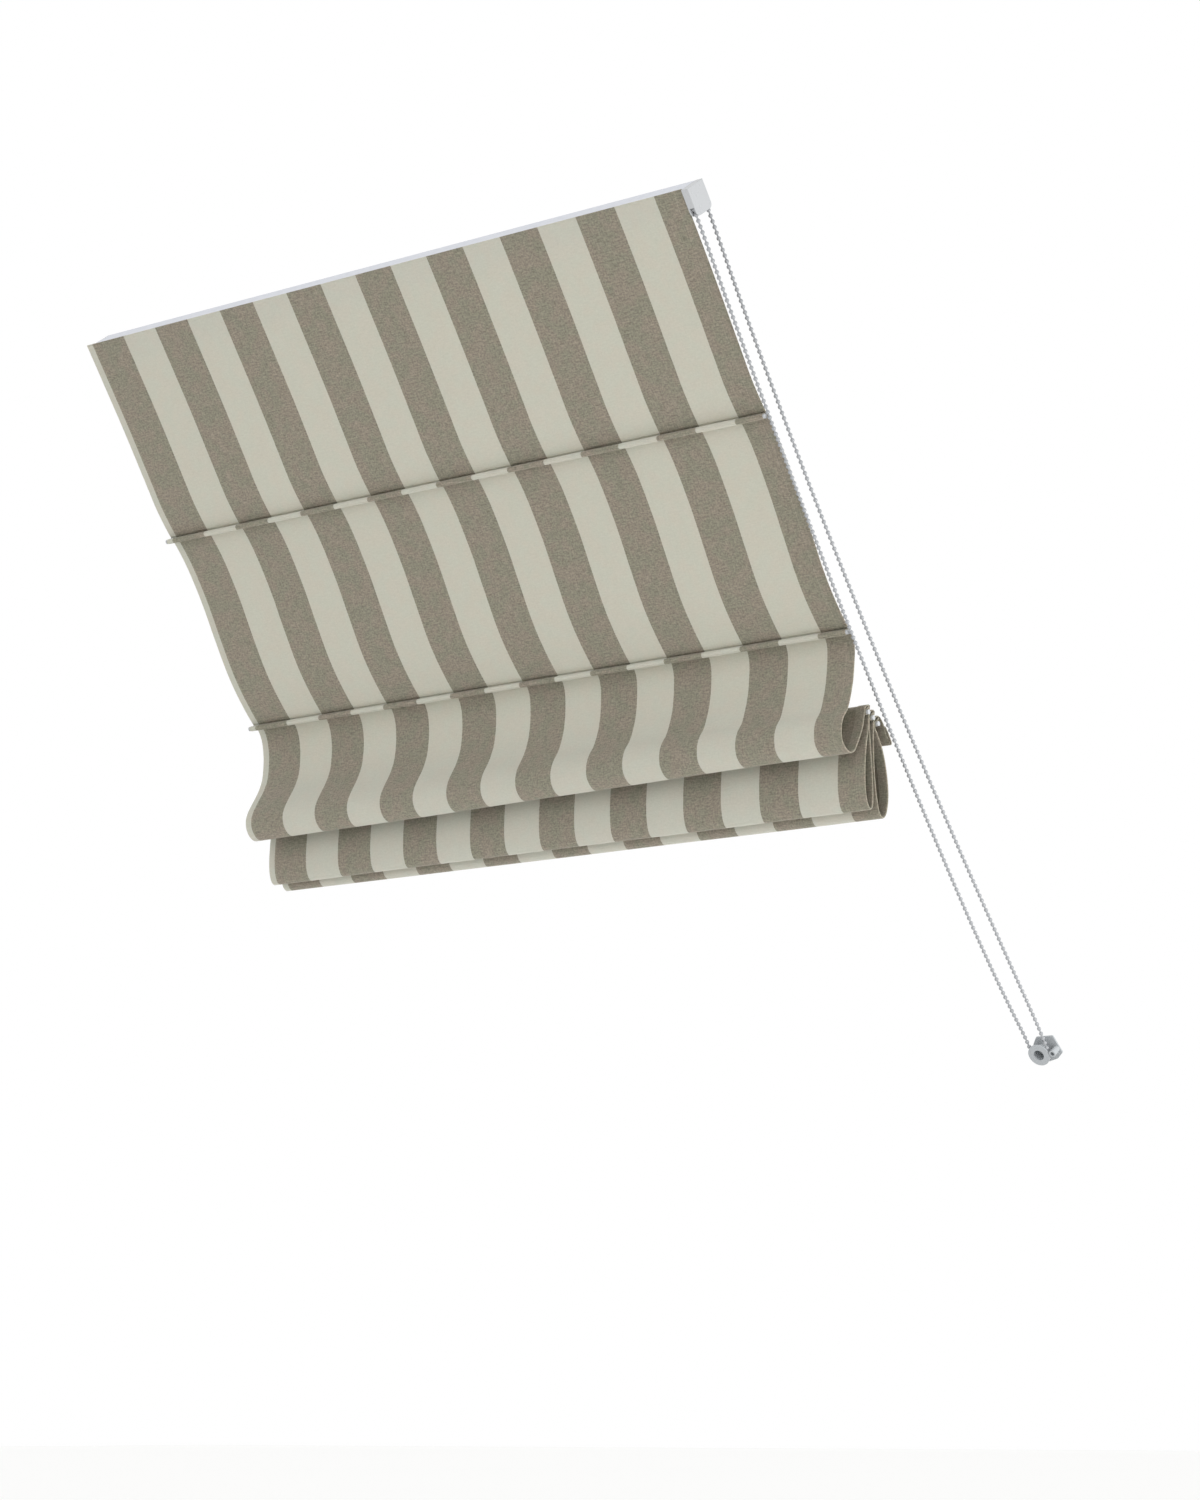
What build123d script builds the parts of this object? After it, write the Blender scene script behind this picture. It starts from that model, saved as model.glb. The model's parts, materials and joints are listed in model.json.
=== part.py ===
from build123d import *
import math
import os

# Striped roman blind with a chain drive, hung on a sloped ceiling over a roof window.
#
# Row frame: x runs along the headrail, y points towards the window and z is plumb. The origin is on the
# ceiling, midway between the screw holes of the two brackets.
# Slope frame, used for all that is built square to the slope: x is the same, y points out through the
# window, square to the slope, and z points up the slope. y = 0 is the plane of the hanging cloth,
# z = 0 its top edge and x = 0 its middle. hang() brings a solid from the slope frame to the row frame.

# ---------------------------------------------------------------- driving dimensions (millimetres)
LEAN = 35.4                 # degrees between the slope and the plumb line

CLOTH_WIDTH = 843.0
CLOTH = 0.8                 # thickness of the cloth
ROD_PITCH = 242.0           # cloth from one rod to the next
SEAM_GAP = 0.8              # between the end of a panel and the seam of the rod below it

ROD_R = 2.0
ROD_OUT_LEFT = 2.2          # how far the rods stand out of the cloth
ROD_OUT_RIGHT = 2.8
ROD_FRONT = 7.0             # rods 1 and 2 lie this far in front of the cloth's plane
SLEEVE_GAP = 0.2            # between a rod and its sleeve
SLEEVE_WALL = 0.5
WEB = 1.0                   # the two layers of cloth between the seam and the sleeve
CAP_R = 2.5
CAP_GAP = 0.3               # between an end cap and the edge of the cloth
CAP_TIP = 0.8

RAIL_FRONT = 3.0            # front face of the rail behind the cloth's plane
RAIL_DEPTH = 25.0
RAIL_HEIGHT = 27.0
RAIL_TOP = -0.5             # the rail's top face, measured from the cloth's top edge
RAIL_WALL = 1.3
RAIL_INSET_LEFT = 13.0      # the cloth covers the rail's left end by this much
RAIL_OUT_RIGHT = 0.5
RAIL_EDGE_R = 1.2
PLUG_GAP = 0.3              # between the rail's inside and what plugs into it

END_CAP_WALL = 2.0
END_CAP_PLUG = 9.0
PLUG_UP = 1.0               # plugs stop this far above the rail's lower edge

BOX_GAP = 0.3               # between the rail's right end and the chain box
BOX_FRONT = -2.0
BOX_HEIGHT = 30.0
BOX_CORNER_R = 6.0
BOX_WALL = 1.0
BOX_SIDE = 1.1
BOX_EDGE_R = 0.6
PLATE = 1.4
CAVITY = 5.5                # room for the chain between the plate and the cover's side
SPIGOT = 14.0

SHAFT_R = 3.0
SHAFT_INSET = 16.5          # from the rail's left end to the shaft's
SHAFT_Y = 13.1
SHAFT_Z = -15.0
RUN_GAP = 0.06              # radial clearance of the turning shaft
PRESS_GAP = 0.04            # radial clearance of what is fixed on the shaft

CORD_INSET = 91.5           # from the cloth's edge to the outer lift cords
CORD_SIDES = ("left", "middle", "right")
CORD_R = 0.7
CORD_Y = 6.0                # lift cords hang this far behind the cloth's plane
SPOOL_LENGTH = 20.0
SPOOL_FLANGE = 1.2
SPOOL_FLANGE_R = 7.6
EAR = 2.0                   # bearing ears of a cradle
EAR_GAP = 0.5
CRADLE_BASE = 1.6
CRADLE_TOP = -6.0
CORD_HOLE_GAP = 0.4

BRACKET_X = 200.0
BRACKET_WIDTH = 36.0
BRACKET_THICK = 1.6
BRACKET_HEIGHT = 24.0
BRACKET_HOLE_R = 2.25
TONGUE = 3.5                # reach of the bracket's upper tongue into the rail
TONGUE_THICK = 1.2
TONGUE_Z = -6.0
HOOK_LIP = 3.0
SLOT_GAP = 0.2

TAPE_HEIGHT = 20.0
TAPE_THICK = 1.0
TAPE_GAP = 0.05

CHAIN_R = 2.25
SPROCKET_PITCH_R = 11.2
SPROCKET_GAP = 0.3
SPROCKET_LENGTH = 4.6
BEADS = 12                  # pockets round the sprocket
BEAD_SINK = 0.8             # the pockets lie this far inside the pitch circle

RING_R = 4.4                # centre line of a cord ring
RING_WIRE_R = 0.8
STACK_RING_Y = 5.2          # rings of the stacked rods lie this far behind their seams

BAR_WIDTH = 18.0
BAR_THICK = 3.0
HEM_CLEAR = 0.3

TOGGLE_GAP = 0.2            # between a cord toggle and the weight bar's pocket
CORD_LEAD = 12.0            # the lift cord runs straight this far into its toggle
CORD_TAIL = 2.0
CORD_BENDS = (30, 9, 6, 5)  # radii of the lift cord's path

GUIDE_OUT = 15.35           # chain guide: its hub's middle lies this far beside the sprocket
GUIDE_Z = -1003.0
GUIDE_CHAIN_Y = 20.5
GUIDE_PITCH_R = 10.5
GUIDE_BASE = 1.8
GUIDE_FLANGE = 1.5
GUIDE_FLANGE_R = 12.4
GUIDE_SCREW_OUT = 16.8      # from the hub's middle to the screw
GUIDE_SCREW_Z = -1002.5
GUIDE_BOSS_R = 3.8
GUIDE_HOLE_R = 2.2
GUIDE_HUB_WALL = 2.0
GUIDE_CORNER_R = 1.5
TURN_GAP = 0.95             # the chain's arc lies this far inside the sprocket's pitch circle
HUB_GAP = 0.1

RAIL_LEFT = -CLOTH_WIDTH / 2 + RAIL_INSET_LEFT
RAIL_RIGHT = CLOTH_WIDTH / 2 + RAIL_OUT_RIGHT
BOX_LEFT = RAIL_RIGHT + BOX_GAP
SHAFT_LEFT = RAIL_LEFT + SHAFT_INSET
CORD_X = (-CLOTH_WIDTH / 2 + CORD_INSET, 0.0, CLOTH_WIDTH / 2 - CORD_INSET)
CHAIN_X = BOX_LEFT + PLATE + CAVITY / 2
GUIDE_X = CHAIN_X + GUIDE_OUT
GUIDE_SCREW_X = GUIDE_X + GUIDE_SCREW_OUT
RAIL_BACK = RAIL_FRONT + RAIL_DEPTH
PANEL_REACH = ROD_PITCH - WEB - SEAM_GAP
RAIL_BOTTOM = RAIL_TOP - RAIL_HEIGHT
BOX_BOTTOM = RAIL_TOP - BOX_HEIGHT
CEILING = RAIL_BACK + BRACKET_THICK
SPOOL_R = SHAFT_Y - CORD_Y - CORD_R
SLEEVE_R = ROD_R + SLEEVE_GAP + SLEEVE_WALL
BRACKET_Z = (RAIL_TOP + RAIL_BOTTOM) / 2
ORIGIN = (0.0, CEILING, BRACKET_Z)

# Chain route in the slope frame: (x, y, z) points of its corners, x from the sprocket's middle. It goes
# from the top of the sprocket down the front strand, round the guide's hub and up the back strand.
CHAIN_STEPS = [
    (0, 12.5, -4.0), (0, 1.9, -4.0),
    (0.15, 0.4, -58), (0.55, -3.6, -150), (0.85, -6.7, -270), (0.95, -8.0, -400),
    (1.25, -7.2, -530), (1.95, -4.2, -660), (2.85, 0.5, -780), (3.75, 7.0, -880),
    (4.45, 15.0, -950), (4.85, 20.5, -985), (4.85, 20.5, -1013.5), (25.85, 20.5, -1013.5),
    (25.85, 20.2, -980), (24.75, 16.8, -925), (22.15, 11.8, -835), (18.95, 7.0, -720),
    (15.35, 4.2, -600), (11.55, 4.0, -470), (7.75, 6.6, -340), (4.45, 11.6, -220),
    (1.65, 18.0, -120), (0.05, 23.4, -50), (0, 24.3, -4.0), (0, 13.7, -4.0),
]
CHAIN_ROUTE = [(CHAIN_X + dx, y, z) for dx, y, z in CHAIN_STEPS]

# Rods 3, 4 and 5 hang in a stack below rod 2. Each step is (y, z) in the row frame, from the rod above.
STACK_STEPS = [(35.1, -77.9), (8.4, -4.6), (8.9, -5.0)]
# The seam of a stacked rod, and the two legs of cloth beside it, from the rod's middle.
SEAM_STEP = (5.4, 8.0)

# Outlines of the cloth between the rods. Panels 1 and 2 are (y, z) in the slope frame, from the
# cloth's top edge and from rod 1.
PANEL_1 = [(0, 0), (0, -24), (-0.3, -60), (-1.0, -110), (-2.7, -170), (-3.6, -205), (-1.4, -236)]
PANEL_2 = [(1.2, -8), (3.1, -28), (3.5, -48), (2.0, -88), (-2.1, -128), (-5.9, -168),
           (-6.3, -188), (-5.4, -206), (-2.9, -229), (-0.9, -240)]
# Panels 3, 4 and 5 are loops that hang plumb: (y, z) in the row frame, from the rod above. The last
# points of each go up in front of the next rod and over it, to its seam.
PANEL_3 = [(13.5, -9), (15.5, -22), (14.2, -46), (8, -68), (-1.5, -86), (-7.6, -103), (-6.6, -119),
           (1.5, -128), (12, -125), (20.5, -111), (28.0, -93), (31.2, -84), (31.6, -77.9),
           (32.9, -73.6), (35.8, -70.8), (38.5, -70.0)]
PANEL_4 = [(4.6, 4.5), (3.6, -1), (2.9, -12), (-1, -35), (-3.7, -60), (-3.4, -82), (0.4, -97),
           (5.4, -101.5), (9.4, -94), (9.2, -72), (7.2, -45), (5.4, -22), (4.9, -6), (6.0, -0.2),
           (8.9, 2.6), (11.8, 3.3)]
PANEL_5 = [(4.6, 4.5), (3.6, -1), (3.2, -12), (3.2, -38), (4.9, -66), (8.6, -90), (16.2, -102.6),
           (24, -97), (27.6, -80), (25.4, -55), (18.6, -30), (9.8, -14.5), (6.0, -8.5), (5.4, -4),
           (6.6, -0.3), (9.4, 2.3), (12.3, 2.9)]
# The tail of cloth below rod 5 lies square to the slope, down to the pocket of the weight bar.
TAIL = [(1.5, -6), (2.6, -13.5)]
POCKET_STEP = (2.6, -14.0)


# ---------------------------------------------------------------- frames and outlines
def turn(y, z, angle):
    """The (y, z) of a point that is turned about x by an angle in degrees."""
    c, s = math.cos(math.radians(angle)), math.sin(math.radians(angle))
    return y * c - z * s, y * s + z * c


def to_row(y, z):
    """From the slope frame to the row frame."""
    return turn(y - ORIGIN[1], z - ORIGIN[2], LEAN)


def to_slope(y, z):
    """From the row frame to the slope frame."""
    y, z = turn(y, z, -LEAN)
    return y + ORIGIN[1], z + ORIGIN[2]


def hang(shape):
    return Rot(LEAN, 0, 0) * Pos(-ORIGIN[0], -ORIGIN[1], -ORIGIN[2]) * shape


def steps(start, offsets):
    return [(start[0] + dy, start[1] + dz) for dy, dz in offsets]


def box(x, y, z):
    """A block between pairs of values along x, y and z."""
    size = (x[1] - x[0], y[1] - y[0], z[1] - z[0])
    middle = ((x[0] + x[1]) / 2, (y[0] + y[1]) / 2, (z[0] + z[1]) / 2)
    return Pos(*middle) * Box(*size)


def rod_along_x(radius, x, y, z):
    """A round bar from x[0] to x[1]."""
    return Pos((x[0] + x[1]) / 2, y, z) * Rot(0, 90, 0) * Cylinder(radius, x[1] - x[0])


def rod_along_y(radius, x, y, z):
    """A round bar from y[0] to y[1]."""
    return Pos(x, (y[0] + y[1]) / 2, z) * Rot(90, 0, 0) * Cylinder(radius, y[1] - y[0])


def offset_points(points, distance):
    """Points moved square to the line that they make, seen along x."""
    moved = []
    for i, (y, z) in enumerate(points):
        before, after = points[max(i - 1, 0)], points[min(i + 1, len(points) - 1)]
        dy, dz = after[0] - before[0], after[1] - before[1]
        length = math.hypot(dy, dz)
        moved.append((y - dz / length * distance, z + dy / length * distance))
    return moved


def strip(points, thickness=CLOTH, width=CLOTH_WIDTH):
    """A sheet as wide as the blind, whose edge follows the points."""
    one = [Vector(0, y, z) for y, z in offset_points(points, thickness / 2)]
    other = [Vector(0, y, z) for y, z in reversed(offset_points(points, -thickness / 2))]
    side_a = Spline(*one)
    side_b = Spline(*other)
    outline = Wire([side_a, Line(one[-1], other[0]), side_b, Line(other[-1], one[0])])
    return extrude(Face(outline), amount=width / 2, dir=(1, 0, 0), both=True)


def tube(points, radii, radius):
    """A round cord along straight runs joined by tangent arcs, with its path's length."""
    path = FilletPolyline(*points, radius=radii)
    section = Plane(path @ 0, z_dir=path % 0) * Circle(radius)
    return sweep(section, path=path), path.length


def arc_radii(points, fixed):
    """The largest radius that the runs beside each corner allow, or the one that fixed names."""
    radii = []
    for i in range(1, len(points) - 1):
        a, b, c = (Vector(*p) for p in points[i - 1:i + 2])
        bend = (b - a).get_angle(c - b)
        shorter = min((b - a).length, (c - b).length)
        radii.append(fixed.get(i, 0.45 * shorter / math.tan(math.radians(bend) / 2)))
    return radii


# ---------------------------------------------------------------- places that several pieces share
def rod_places():
    """The middle of each rod in the row frame, from rod 1 to rod 5."""
    places = [to_row(-ROD_FRONT, -ROD_PITCH), to_row(-ROD_FRONT, -2 * ROD_PITCH)]
    for step in STACK_STEPS:
        places.append((places[-1][0] + step[0], places[-1][1] + step[1]))
    return places


def seam_places(rods):
    """Where each rod's tuck is sewn to the cloth, in the row frame."""
    flat = [to_row(0, -ROD_PITCH + WEB), to_row(0, -2 * ROD_PITCH + WEB)]
    return flat + [(y + SEAM_STEP[0], z + SEAM_STEP[1]) for y, z in rods[2:]]


def ring_places(seams):
    """The middle of the cord rings behind each seam, in the slope frame."""
    places = []
    for number, (y, z) in enumerate(seams, start=1):
        slope_y, slope_z = to_slope(y, z)
        behind = STACK_RING_Y if number in (3, 4) else CORD_Y
        places.append((slope_y + behind, slope_z + WEB))
    return places


RODS = rod_places()
SEAMS = seam_places(RODS)
RINGS = ring_places(SEAMS)


def side_plane(y, z):
    """A plane square to x, whose middle is between the pairs of values along y and z."""
    return Plane(origin=(0, (y[0] + y[1]) / 2, (z[0] + z[1]) / 2), x_dir=(0, 1, 0), z_dir=(1, 0, 0))


# ---------------------------------------------------------------- headrail
def rail_section():
    y, z = (RAIL_FRONT, RAIL_BACK), (RAIL_BOTTOM, RAIL_TOP)
    return side_plane(y, z) * RectangleRounded(RAIL_DEPTH, RAIL_HEIGHT, RAIL_EDGE_R)


def headrail():
    length = RAIL_RIGHT - RAIL_LEFT
    body = Pos(RAIL_LEFT, 0, 0) * extrude(rail_section(), amount=length, dir=(1, 0, 0))
    inside_y = (RAIL_FRONT + RAIL_WALL, RAIL_BACK - RAIL_WALL)
    body -= box((RAIL_LEFT - 1, RAIL_RIGHT + 1), inside_y, (RAIL_BOTTOM - 1, RAIL_TOP - RAIL_WALL))
    for side in (-1, 1):
        half = BRACKET_WIDTH / 2 - HOOK_LIP + SLOT_GAP
        x = (side * BRACKET_X - half, side * BRACKET_X + half)
        z = (TONGUE_Z - TONGUE_THICK - SLOT_GAP, TONGUE_Z + SLOT_GAP)
        body -= box(x, (RAIL_BACK - RAIL_WALL - 1, RAIL_BACK + 1), z)
    return body


def end_cap():
    plate = extrude(rail_section(), amount=END_CAP_WALL, dir=(1, 0, 0))
    plate = Pos(RAIL_LEFT - END_CAP_WALL, 0, 0) * plate
    inset = RAIL_WALL + PLUG_GAP
    y = (RAIL_FRONT + inset, RAIL_BACK - inset)
    z = (RAIL_BOTTOM + PLUG_UP, RAIL_TOP - inset)
    plug = box((RAIL_LEFT - END_CAP_WALL, RAIL_LEFT + END_CAP_PLUG), y, z)
    hollow_y = (y[0] + END_CAP_WALL, y[1] - END_CAP_WALL)
    hollow_z = (z[0] + END_CAP_WALL, z[1] - END_CAP_WALL)
    plug -= box((RAIL_LEFT, RAIL_LEFT + END_CAP_PLUG + 1), hollow_y, hollow_z)
    return plate + plug


def box_outline(inset):
    """Side view of the chain box, with its two round lower corners."""
    y = (BOX_FRONT + inset, RAIL_BACK - inset)
    z = (BOX_BOTTOM + inset, RAIL_TOP - inset)
    body = side_plane(y, z) * Rectangle(y[1] - y[0], z[1] - z[0])
    lower = body.vertices().sort_by(Axis.Z)[:2]
    return fillet(lower, BOX_CORNER_R - inset)


def drive_plate():
    """Inner half of the chain box, with the spigot that plugs into the rail and carries the shaft."""
    plate = Pos(BOX_LEFT, 0, 0) * extrude(box_outline(0), amount=PLATE, dir=(1, 0, 0))
    inset = RAIL_WALL + PLUG_GAP
    y = (RAIL_FRONT + inset, RAIL_BACK - inset)
    z = (RAIL_BOTTOM + PLUG_UP, RAIL_TOP - inset)
    spigot = box((BOX_LEFT - SPIGOT, BOX_LEFT + PLATE / 2), y, z)
    body = plate + spigot
    body -= rod_along_x(SHAFT_R + RUN_GAP, (BOX_LEFT - SPIGOT - 1, BOX_LEFT + PLATE + 1), SHAFT_Y, SHAFT_Z)
    return body


def chain_cover():
    """Outer half of the chain box, a cup over the sprocket with slots for the two strands."""
    left = BOX_LEFT + PLATE
    right = left + CAVITY + BOX_SIDE
    cover = Pos(left, 0, 0) * extrude(box_outline(0), amount=right - left, dir=(1, 0, 0))
    cover = fillet(cover.edges().filter_by_position(Axis.X, right - 0.01, right + 0.01), BOX_EDGE_R)
    cover -= Pos(left, 0, 0) * extrude(box_outline(BOX_WALL), amount=CAVITY, dir=(1, 0, 0))
    x = (left - 1, left + CAVITY)
    strand = CHAIN_R + 2 * SPROCKET_GAP
    front = SHAFT_Y - SPROCKET_PITCH_R
    back = SHAFT_Y + SPROCKET_PITCH_R
    cover -= box(x, (BOX_FRONT - 1, front + strand), (BOX_BOTTOM - 1, SHAFT_Z - BOX_CORNER_R))
    cover -= box(x, (back - strand, back + strand), (BOX_BOTTOM - 1, BOX_BOTTOM + BOX_CORNER_R + 1))
    return cover


# ---------------------------------------------------------------- drive
def drive_shaft():
    right = BOX_LEFT + PLATE + CAVITY - SPROCKET_GAP
    return rod_along_x(SHAFT_R, (SHAFT_LEFT, right), SHAFT_Y, SHAFT_Z)


def sprocket():
    """Chain wheel with a rounded groove and twelve pockets for the beads."""
    x = (CHAIN_X - SPROCKET_LENGTH / 2, CHAIN_X + SPROCKET_LENGTH / 2)
    wheel = rod_along_x(SPROCKET_PITCH_R - CHAIN_R - SPROCKET_GAP, x, SHAFT_Y, SHAFT_Z)
    for i in range(BEADS):
        y, z = turn(SPROCKET_PITCH_R - BEAD_SINK, 0, 360 / BEADS * i)
        wheel -= Pos(CHAIN_X, SHAFT_Y + y, SHAFT_Z + z) * Sphere(CHAIN_R)
    return wheel - rod_along_x(SHAFT_R + PRESS_GAP, (x[0] - 1, x[1] + 1), SHAFT_Y, SHAFT_Z)


def spool(x):
    half = SPOOL_LENGTH / 2
    body = rod_along_x(SPOOL_R, (x - half, x + half), SHAFT_Y, SHAFT_Z)
    body += rod_along_x(SPOOL_FLANGE_R, (x - half, x - half + SPOOL_FLANGE), SHAFT_Y, SHAFT_Z)
    body += rod_along_x(SPOOL_FLANGE_R, (x + half - SPOOL_FLANGE, x + half), SHAFT_Y, SHAFT_Z)
    return body - rod_along_x(SHAFT_R + PRESS_GAP, (x - half - 1, x + half + 1), SHAFT_Y, SHAFT_Z)


def cradle(x):
    """Support inside the rail: two bearing ears and a floor with the hole of the lift cord."""
    inner = SPOOL_LENGTH / 2 + EAR_GAP
    outer = inner + EAR
    inset = RAIL_WALL + PLUG_GAP
    y = (RAIL_FRONT + inset, RAIL_BACK - inset)
    floor_z = (RAIL_BOTTOM + PLUG_GAP, RAIL_BOTTOM + PLUG_GAP + CRADLE_BASE)
    body = box((x - outer, x + outer), y, floor_z)
    for side in (-1, 1):
        ear_x = sorted((x + side * inner, x + side * outer))
        body += box(ear_x, y, (floor_z[0], CRADLE_TOP))
    body -= rod_along_x(SHAFT_R + RUN_GAP, (x - outer - 1, x + outer + 1), SHAFT_Y, SHAFT_Z)
    hole = Pos(x, CORD_Y, (floor_z[0] + floor_z[1]) / 2) * Cylinder(CORD_R + CORD_HOLE_GAP, 2 * CRADLE_BASE)
    return body - hole


# ---------------------------------------------------------------- mounting
def bracket(x):
    """Ceiling bracket: a plate behind the rail, a tongue into its slot and a hook under its wall."""
    half = BRACKET_WIDTH / 2
    top = BRACKET_Z + BRACKET_HEIGHT / 2
    under = RAIL_BOTTOM - SLOT_GAP
    y_back = RAIL_BACK + SLOT_GAP / 2
    lip_y = RAIL_BACK - RAIL_WALL - SLOT_GAP
    plate = box((x - half, x + half), (y_back, CEILING), (under - TONGUE_THICK, top))
    plate += box((x - half + HOOK_LIP, x + half - HOOK_LIP), (RAIL_BACK - TONGUE, CEILING),
                 (TONGUE_Z - TONGUE_THICK, TONGUE_Z))
    hook_x = (x - half, x + half)
    plate += box(hook_x, (lip_y - TONGUE_THICK, CEILING), (under - TONGUE_THICK, under))
    plate += box(hook_x, (lip_y - TONGUE_THICK, lip_y), (under - TONGUE_THICK, under + HOOK_LIP))
    return plate - rod_along_y(BRACKET_HOLE_R, x, (RAIL_BACK - 1, CEILING + 1), BRACKET_Z)


def tape(layer):
    """Hook tape on the rail's front (layer 0), loop tape on the cloth's back (layer 1)."""
    back = RAIL_FRONT - TAPE_GAP - layer * (TAPE_THICK + TAPE_GAP)
    return box((RAIL_LEFT + 2, RAIL_RIGHT - 2), (back - TAPE_THICK, back), (RAIL_TOP - TAPE_HEIGHT, RAIL_TOP))


# ---------------------------------------------------------------- rods, cloth and weight bar
def rod(place):
    x = (-CLOTH_WIDTH / 2 - ROD_OUT_LEFT + CAP_TIP, CLOTH_WIDTH / 2 + ROD_OUT_RIGHT - CAP_TIP)
    return rod_along_x(ROD_R, x, *place)


def rod_caps(place):
    """The two end caps of a rod."""
    caps = []
    for side, out in ((-1, ROD_OUT_LEFT), (1, ROD_OUT_RIGHT)):
        edge = side * (CLOTH_WIDTH / 2 + CAP_GAP)
        tip = side * (CLOTH_WIDTH / 2 + out)
        cap = rod_along_x(CAP_R, sorted((edge, tip)), *place)
        bore = rod_along_x(ROD_R + PRESS_GAP, sorted((edge - side, tip - side * CAP_TIP)), *place)
        caps.append(cap - bore)
    return Compound(children=caps)


def tuck(body, place, seam):
    """Adds the sewn sleeve of a rod to the cloth that starts at its seam."""
    x = (-CLOTH_WIDTH / 2, CLOTH_WIDTH / 2)
    sleeve = rod_along_x(SLEEVE_R, x, *place)
    web = strip([seam, place], WEB)
    bore = rod_along_x(ROD_R + SLEEVE_GAP, (x[0] - 1, x[1] + 1), *place)
    return body + sleeve + web - bore


def panel_1():
    scale = PANEL_REACH / -PANEL_1[-1][1]
    return strip([to_row(y, z * scale) for y, z in PANEL_1])


def panel_2():
    scale = PANEL_REACH / -PANEL_2[-1][1]
    points = [(0, WEB - ROD_PITCH)] + [(y, z * scale - ROD_PITCH) for y, z in PANEL_2]
    return tuck(strip([to_row(y, z) for y, z in points]), RODS[0], SEAMS[0])


def loop_panel(outline, upper):
    """The hanging loop of cloth below rod number upper, counted from 0."""
    points = [SEAMS[upper]] + steps(RODS[upper], outline)
    return tuck(strip(points), RODS[upper], SEAMS[upper])


def hem_place():
    """Top of the weight bar's pocket in the slope frame."""
    y, z = to_slope(*SEAMS[4])
    return y + POCKET_STEP[0], z + POCKET_STEP[1]


def hem():
    """Last tail of cloth, with the tuck of rod 5 and the pocket of the weight bar."""
    seam = to_slope(*SEAMS[4])
    tail = strip([to_row(*p) for p in [seam] + steps(seam, TAIL)])
    y, z = hem_place()
    half = CLOTH_WIDTH / 2
    depth = BAR_THICK / 2 + HEM_CLEAR
    height = BAR_WIDTH + 2 * HEM_CLEAR
    outer = box((-half, half), (y - depth - CLOTH, y + depth + CLOTH), (z - height - CLOTH, z + CLOTH))
    inner = box((-half - 1, half + 1), (y - depth, y + depth), (z - height, z))
    return tuck(tail + hang(outer - inner), RODS[4], SEAMS[4])


def weight_bar():
    y, z = hem_place()
    half = CLOTH_WIDTH / 2 - CAP_R
    bar_y = (y - BAR_THICK / 2, y + BAR_THICK / 2)
    return box((-half, half), bar_y, (z - HEM_CLEAR - BAR_WIDTH, z - HEM_CLEAR))


# ---------------------------------------------------------------- rings and lift cords
def rings(place):
    """The rings behind one rod, one for each lift cord."""
    return Compound(children=[Pos(x, *place) * Torus(RING_R, RING_WIRE_R) for x in CORD_X])


def toggle_place():
    """Middle of the cord toggles, on the back of the weight bar's pocket, in the slope frame."""
    y, z = hem_place()
    return y + BAR_THICK / 2 + HEM_CLEAR + CLOTH + TOGGLE_GAP + CAP_R, z - BAR_WIDTH / 2


def toggles():
    """The barrels that end the lift cords."""
    y, z = toggle_place()
    barrel = Cylinder(CAP_R, BAR_WIDTH / 2) - Cylinder(CORD_R + PRESS_GAP, BAR_WIDTH)
    return Compound(children=[Pos(x, y, z) * barrel for x in CORD_X])


def lift_cord(x):
    """One lift cord, from its spool through the rings to its toggle, and the path's length."""
    y_end, z_end = toggle_place()
    points = [(x, CORD_Y, SHAFT_Z), (x, *RINGS[1]), (x, *RINGS[2]), (x, *RINGS[4]),
              (x, y_end, z_end + CORD_LEAD), (x, y_end, z_end - CORD_TAIL)]
    return tube(points, list(CORD_BENDS), CORD_R)


# ---------------------------------------------------------------- chain and its guide
def bead_chain():
    top, hub = SPROCKET_PITCH_R - TURN_GAP, GUIDE_PITCH_R - HUB_GAP
    last = len(CHAIN_ROUTE) - 2
    radii = arc_radii(CHAIN_ROUTE, {1: top, last: top, 12: hub, 13: hub})
    print("chain radii", [round(r, 1) for r in radii])
    return tube(CHAIN_ROUTE, radii, CHAIN_R)


def guide_outline():
    """The guide's base plate seen square to the slope."""
    return [(-3, 16), (17.5, 16), (22, -5), (14, -11.5), (2, -14.4), (-7, -12.2), (-12, -6),
            (-12, 3), (-8.5, 9)]


def chain_guide():
    """Clear guide screwed to the ceiling: base, hub with a flange in front of the chain, screw boss."""
    points = [(GUIDE_X + dx, GUIDE_Z + dz) for dx, dz in guide_outline()]
    plane = Plane(origin=(0, CEILING, 0), x_dir=(1, 0, 0), z_dir=(0, -1, 0))
    base = extrude(plane * make_face(Polyline(*points, close=True)), amount=GUIDE_BASE)
    base = fillet(base.edges().filter_by(Axis.Y), GUIDE_CORNER_R)
    front = GUIDE_CHAIN_Y - CHAIN_R - SPROCKET_GAP
    hub_r = GUIDE_PITCH_R - CHAIN_R - SPROCKET_GAP
    base += rod_along_y(hub_r, GUIDE_X, (front - GUIDE_FLANGE, CEILING - GUIDE_BASE / 2), GUIDE_Z)
    base += rod_along_y(GUIDE_FLANGE_R, GUIDE_X, (front - GUIDE_FLANGE, front), GUIDE_Z)
    base -= rod_along_y(hub_r - GUIDE_HUB_WALL, GUIDE_X, (front - GUIDE_FLANGE - 1, CEILING - GUIDE_BASE), GUIDE_Z)
    boss_y = (front - GUIDE_FLANGE, CEILING - GUIDE_BASE / 2)
    base += rod_along_y(GUIDE_BOSS_R, GUIDE_SCREW_X, boss_y, GUIDE_SCREW_Z)
    return base - rod_along_y(GUIDE_HOLE_R, GUIDE_SCREW_X, (front - GUIDE_FLANGE - 1, CEILING + 1),
                              GUIDE_SCREW_Z)


# ---------------------------------------------------------------- writing the parts
os.makedirs("parts", exist_ok=True)


def write(name, shape):
    export_step(shape, f"parts/{name}.step")


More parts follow.
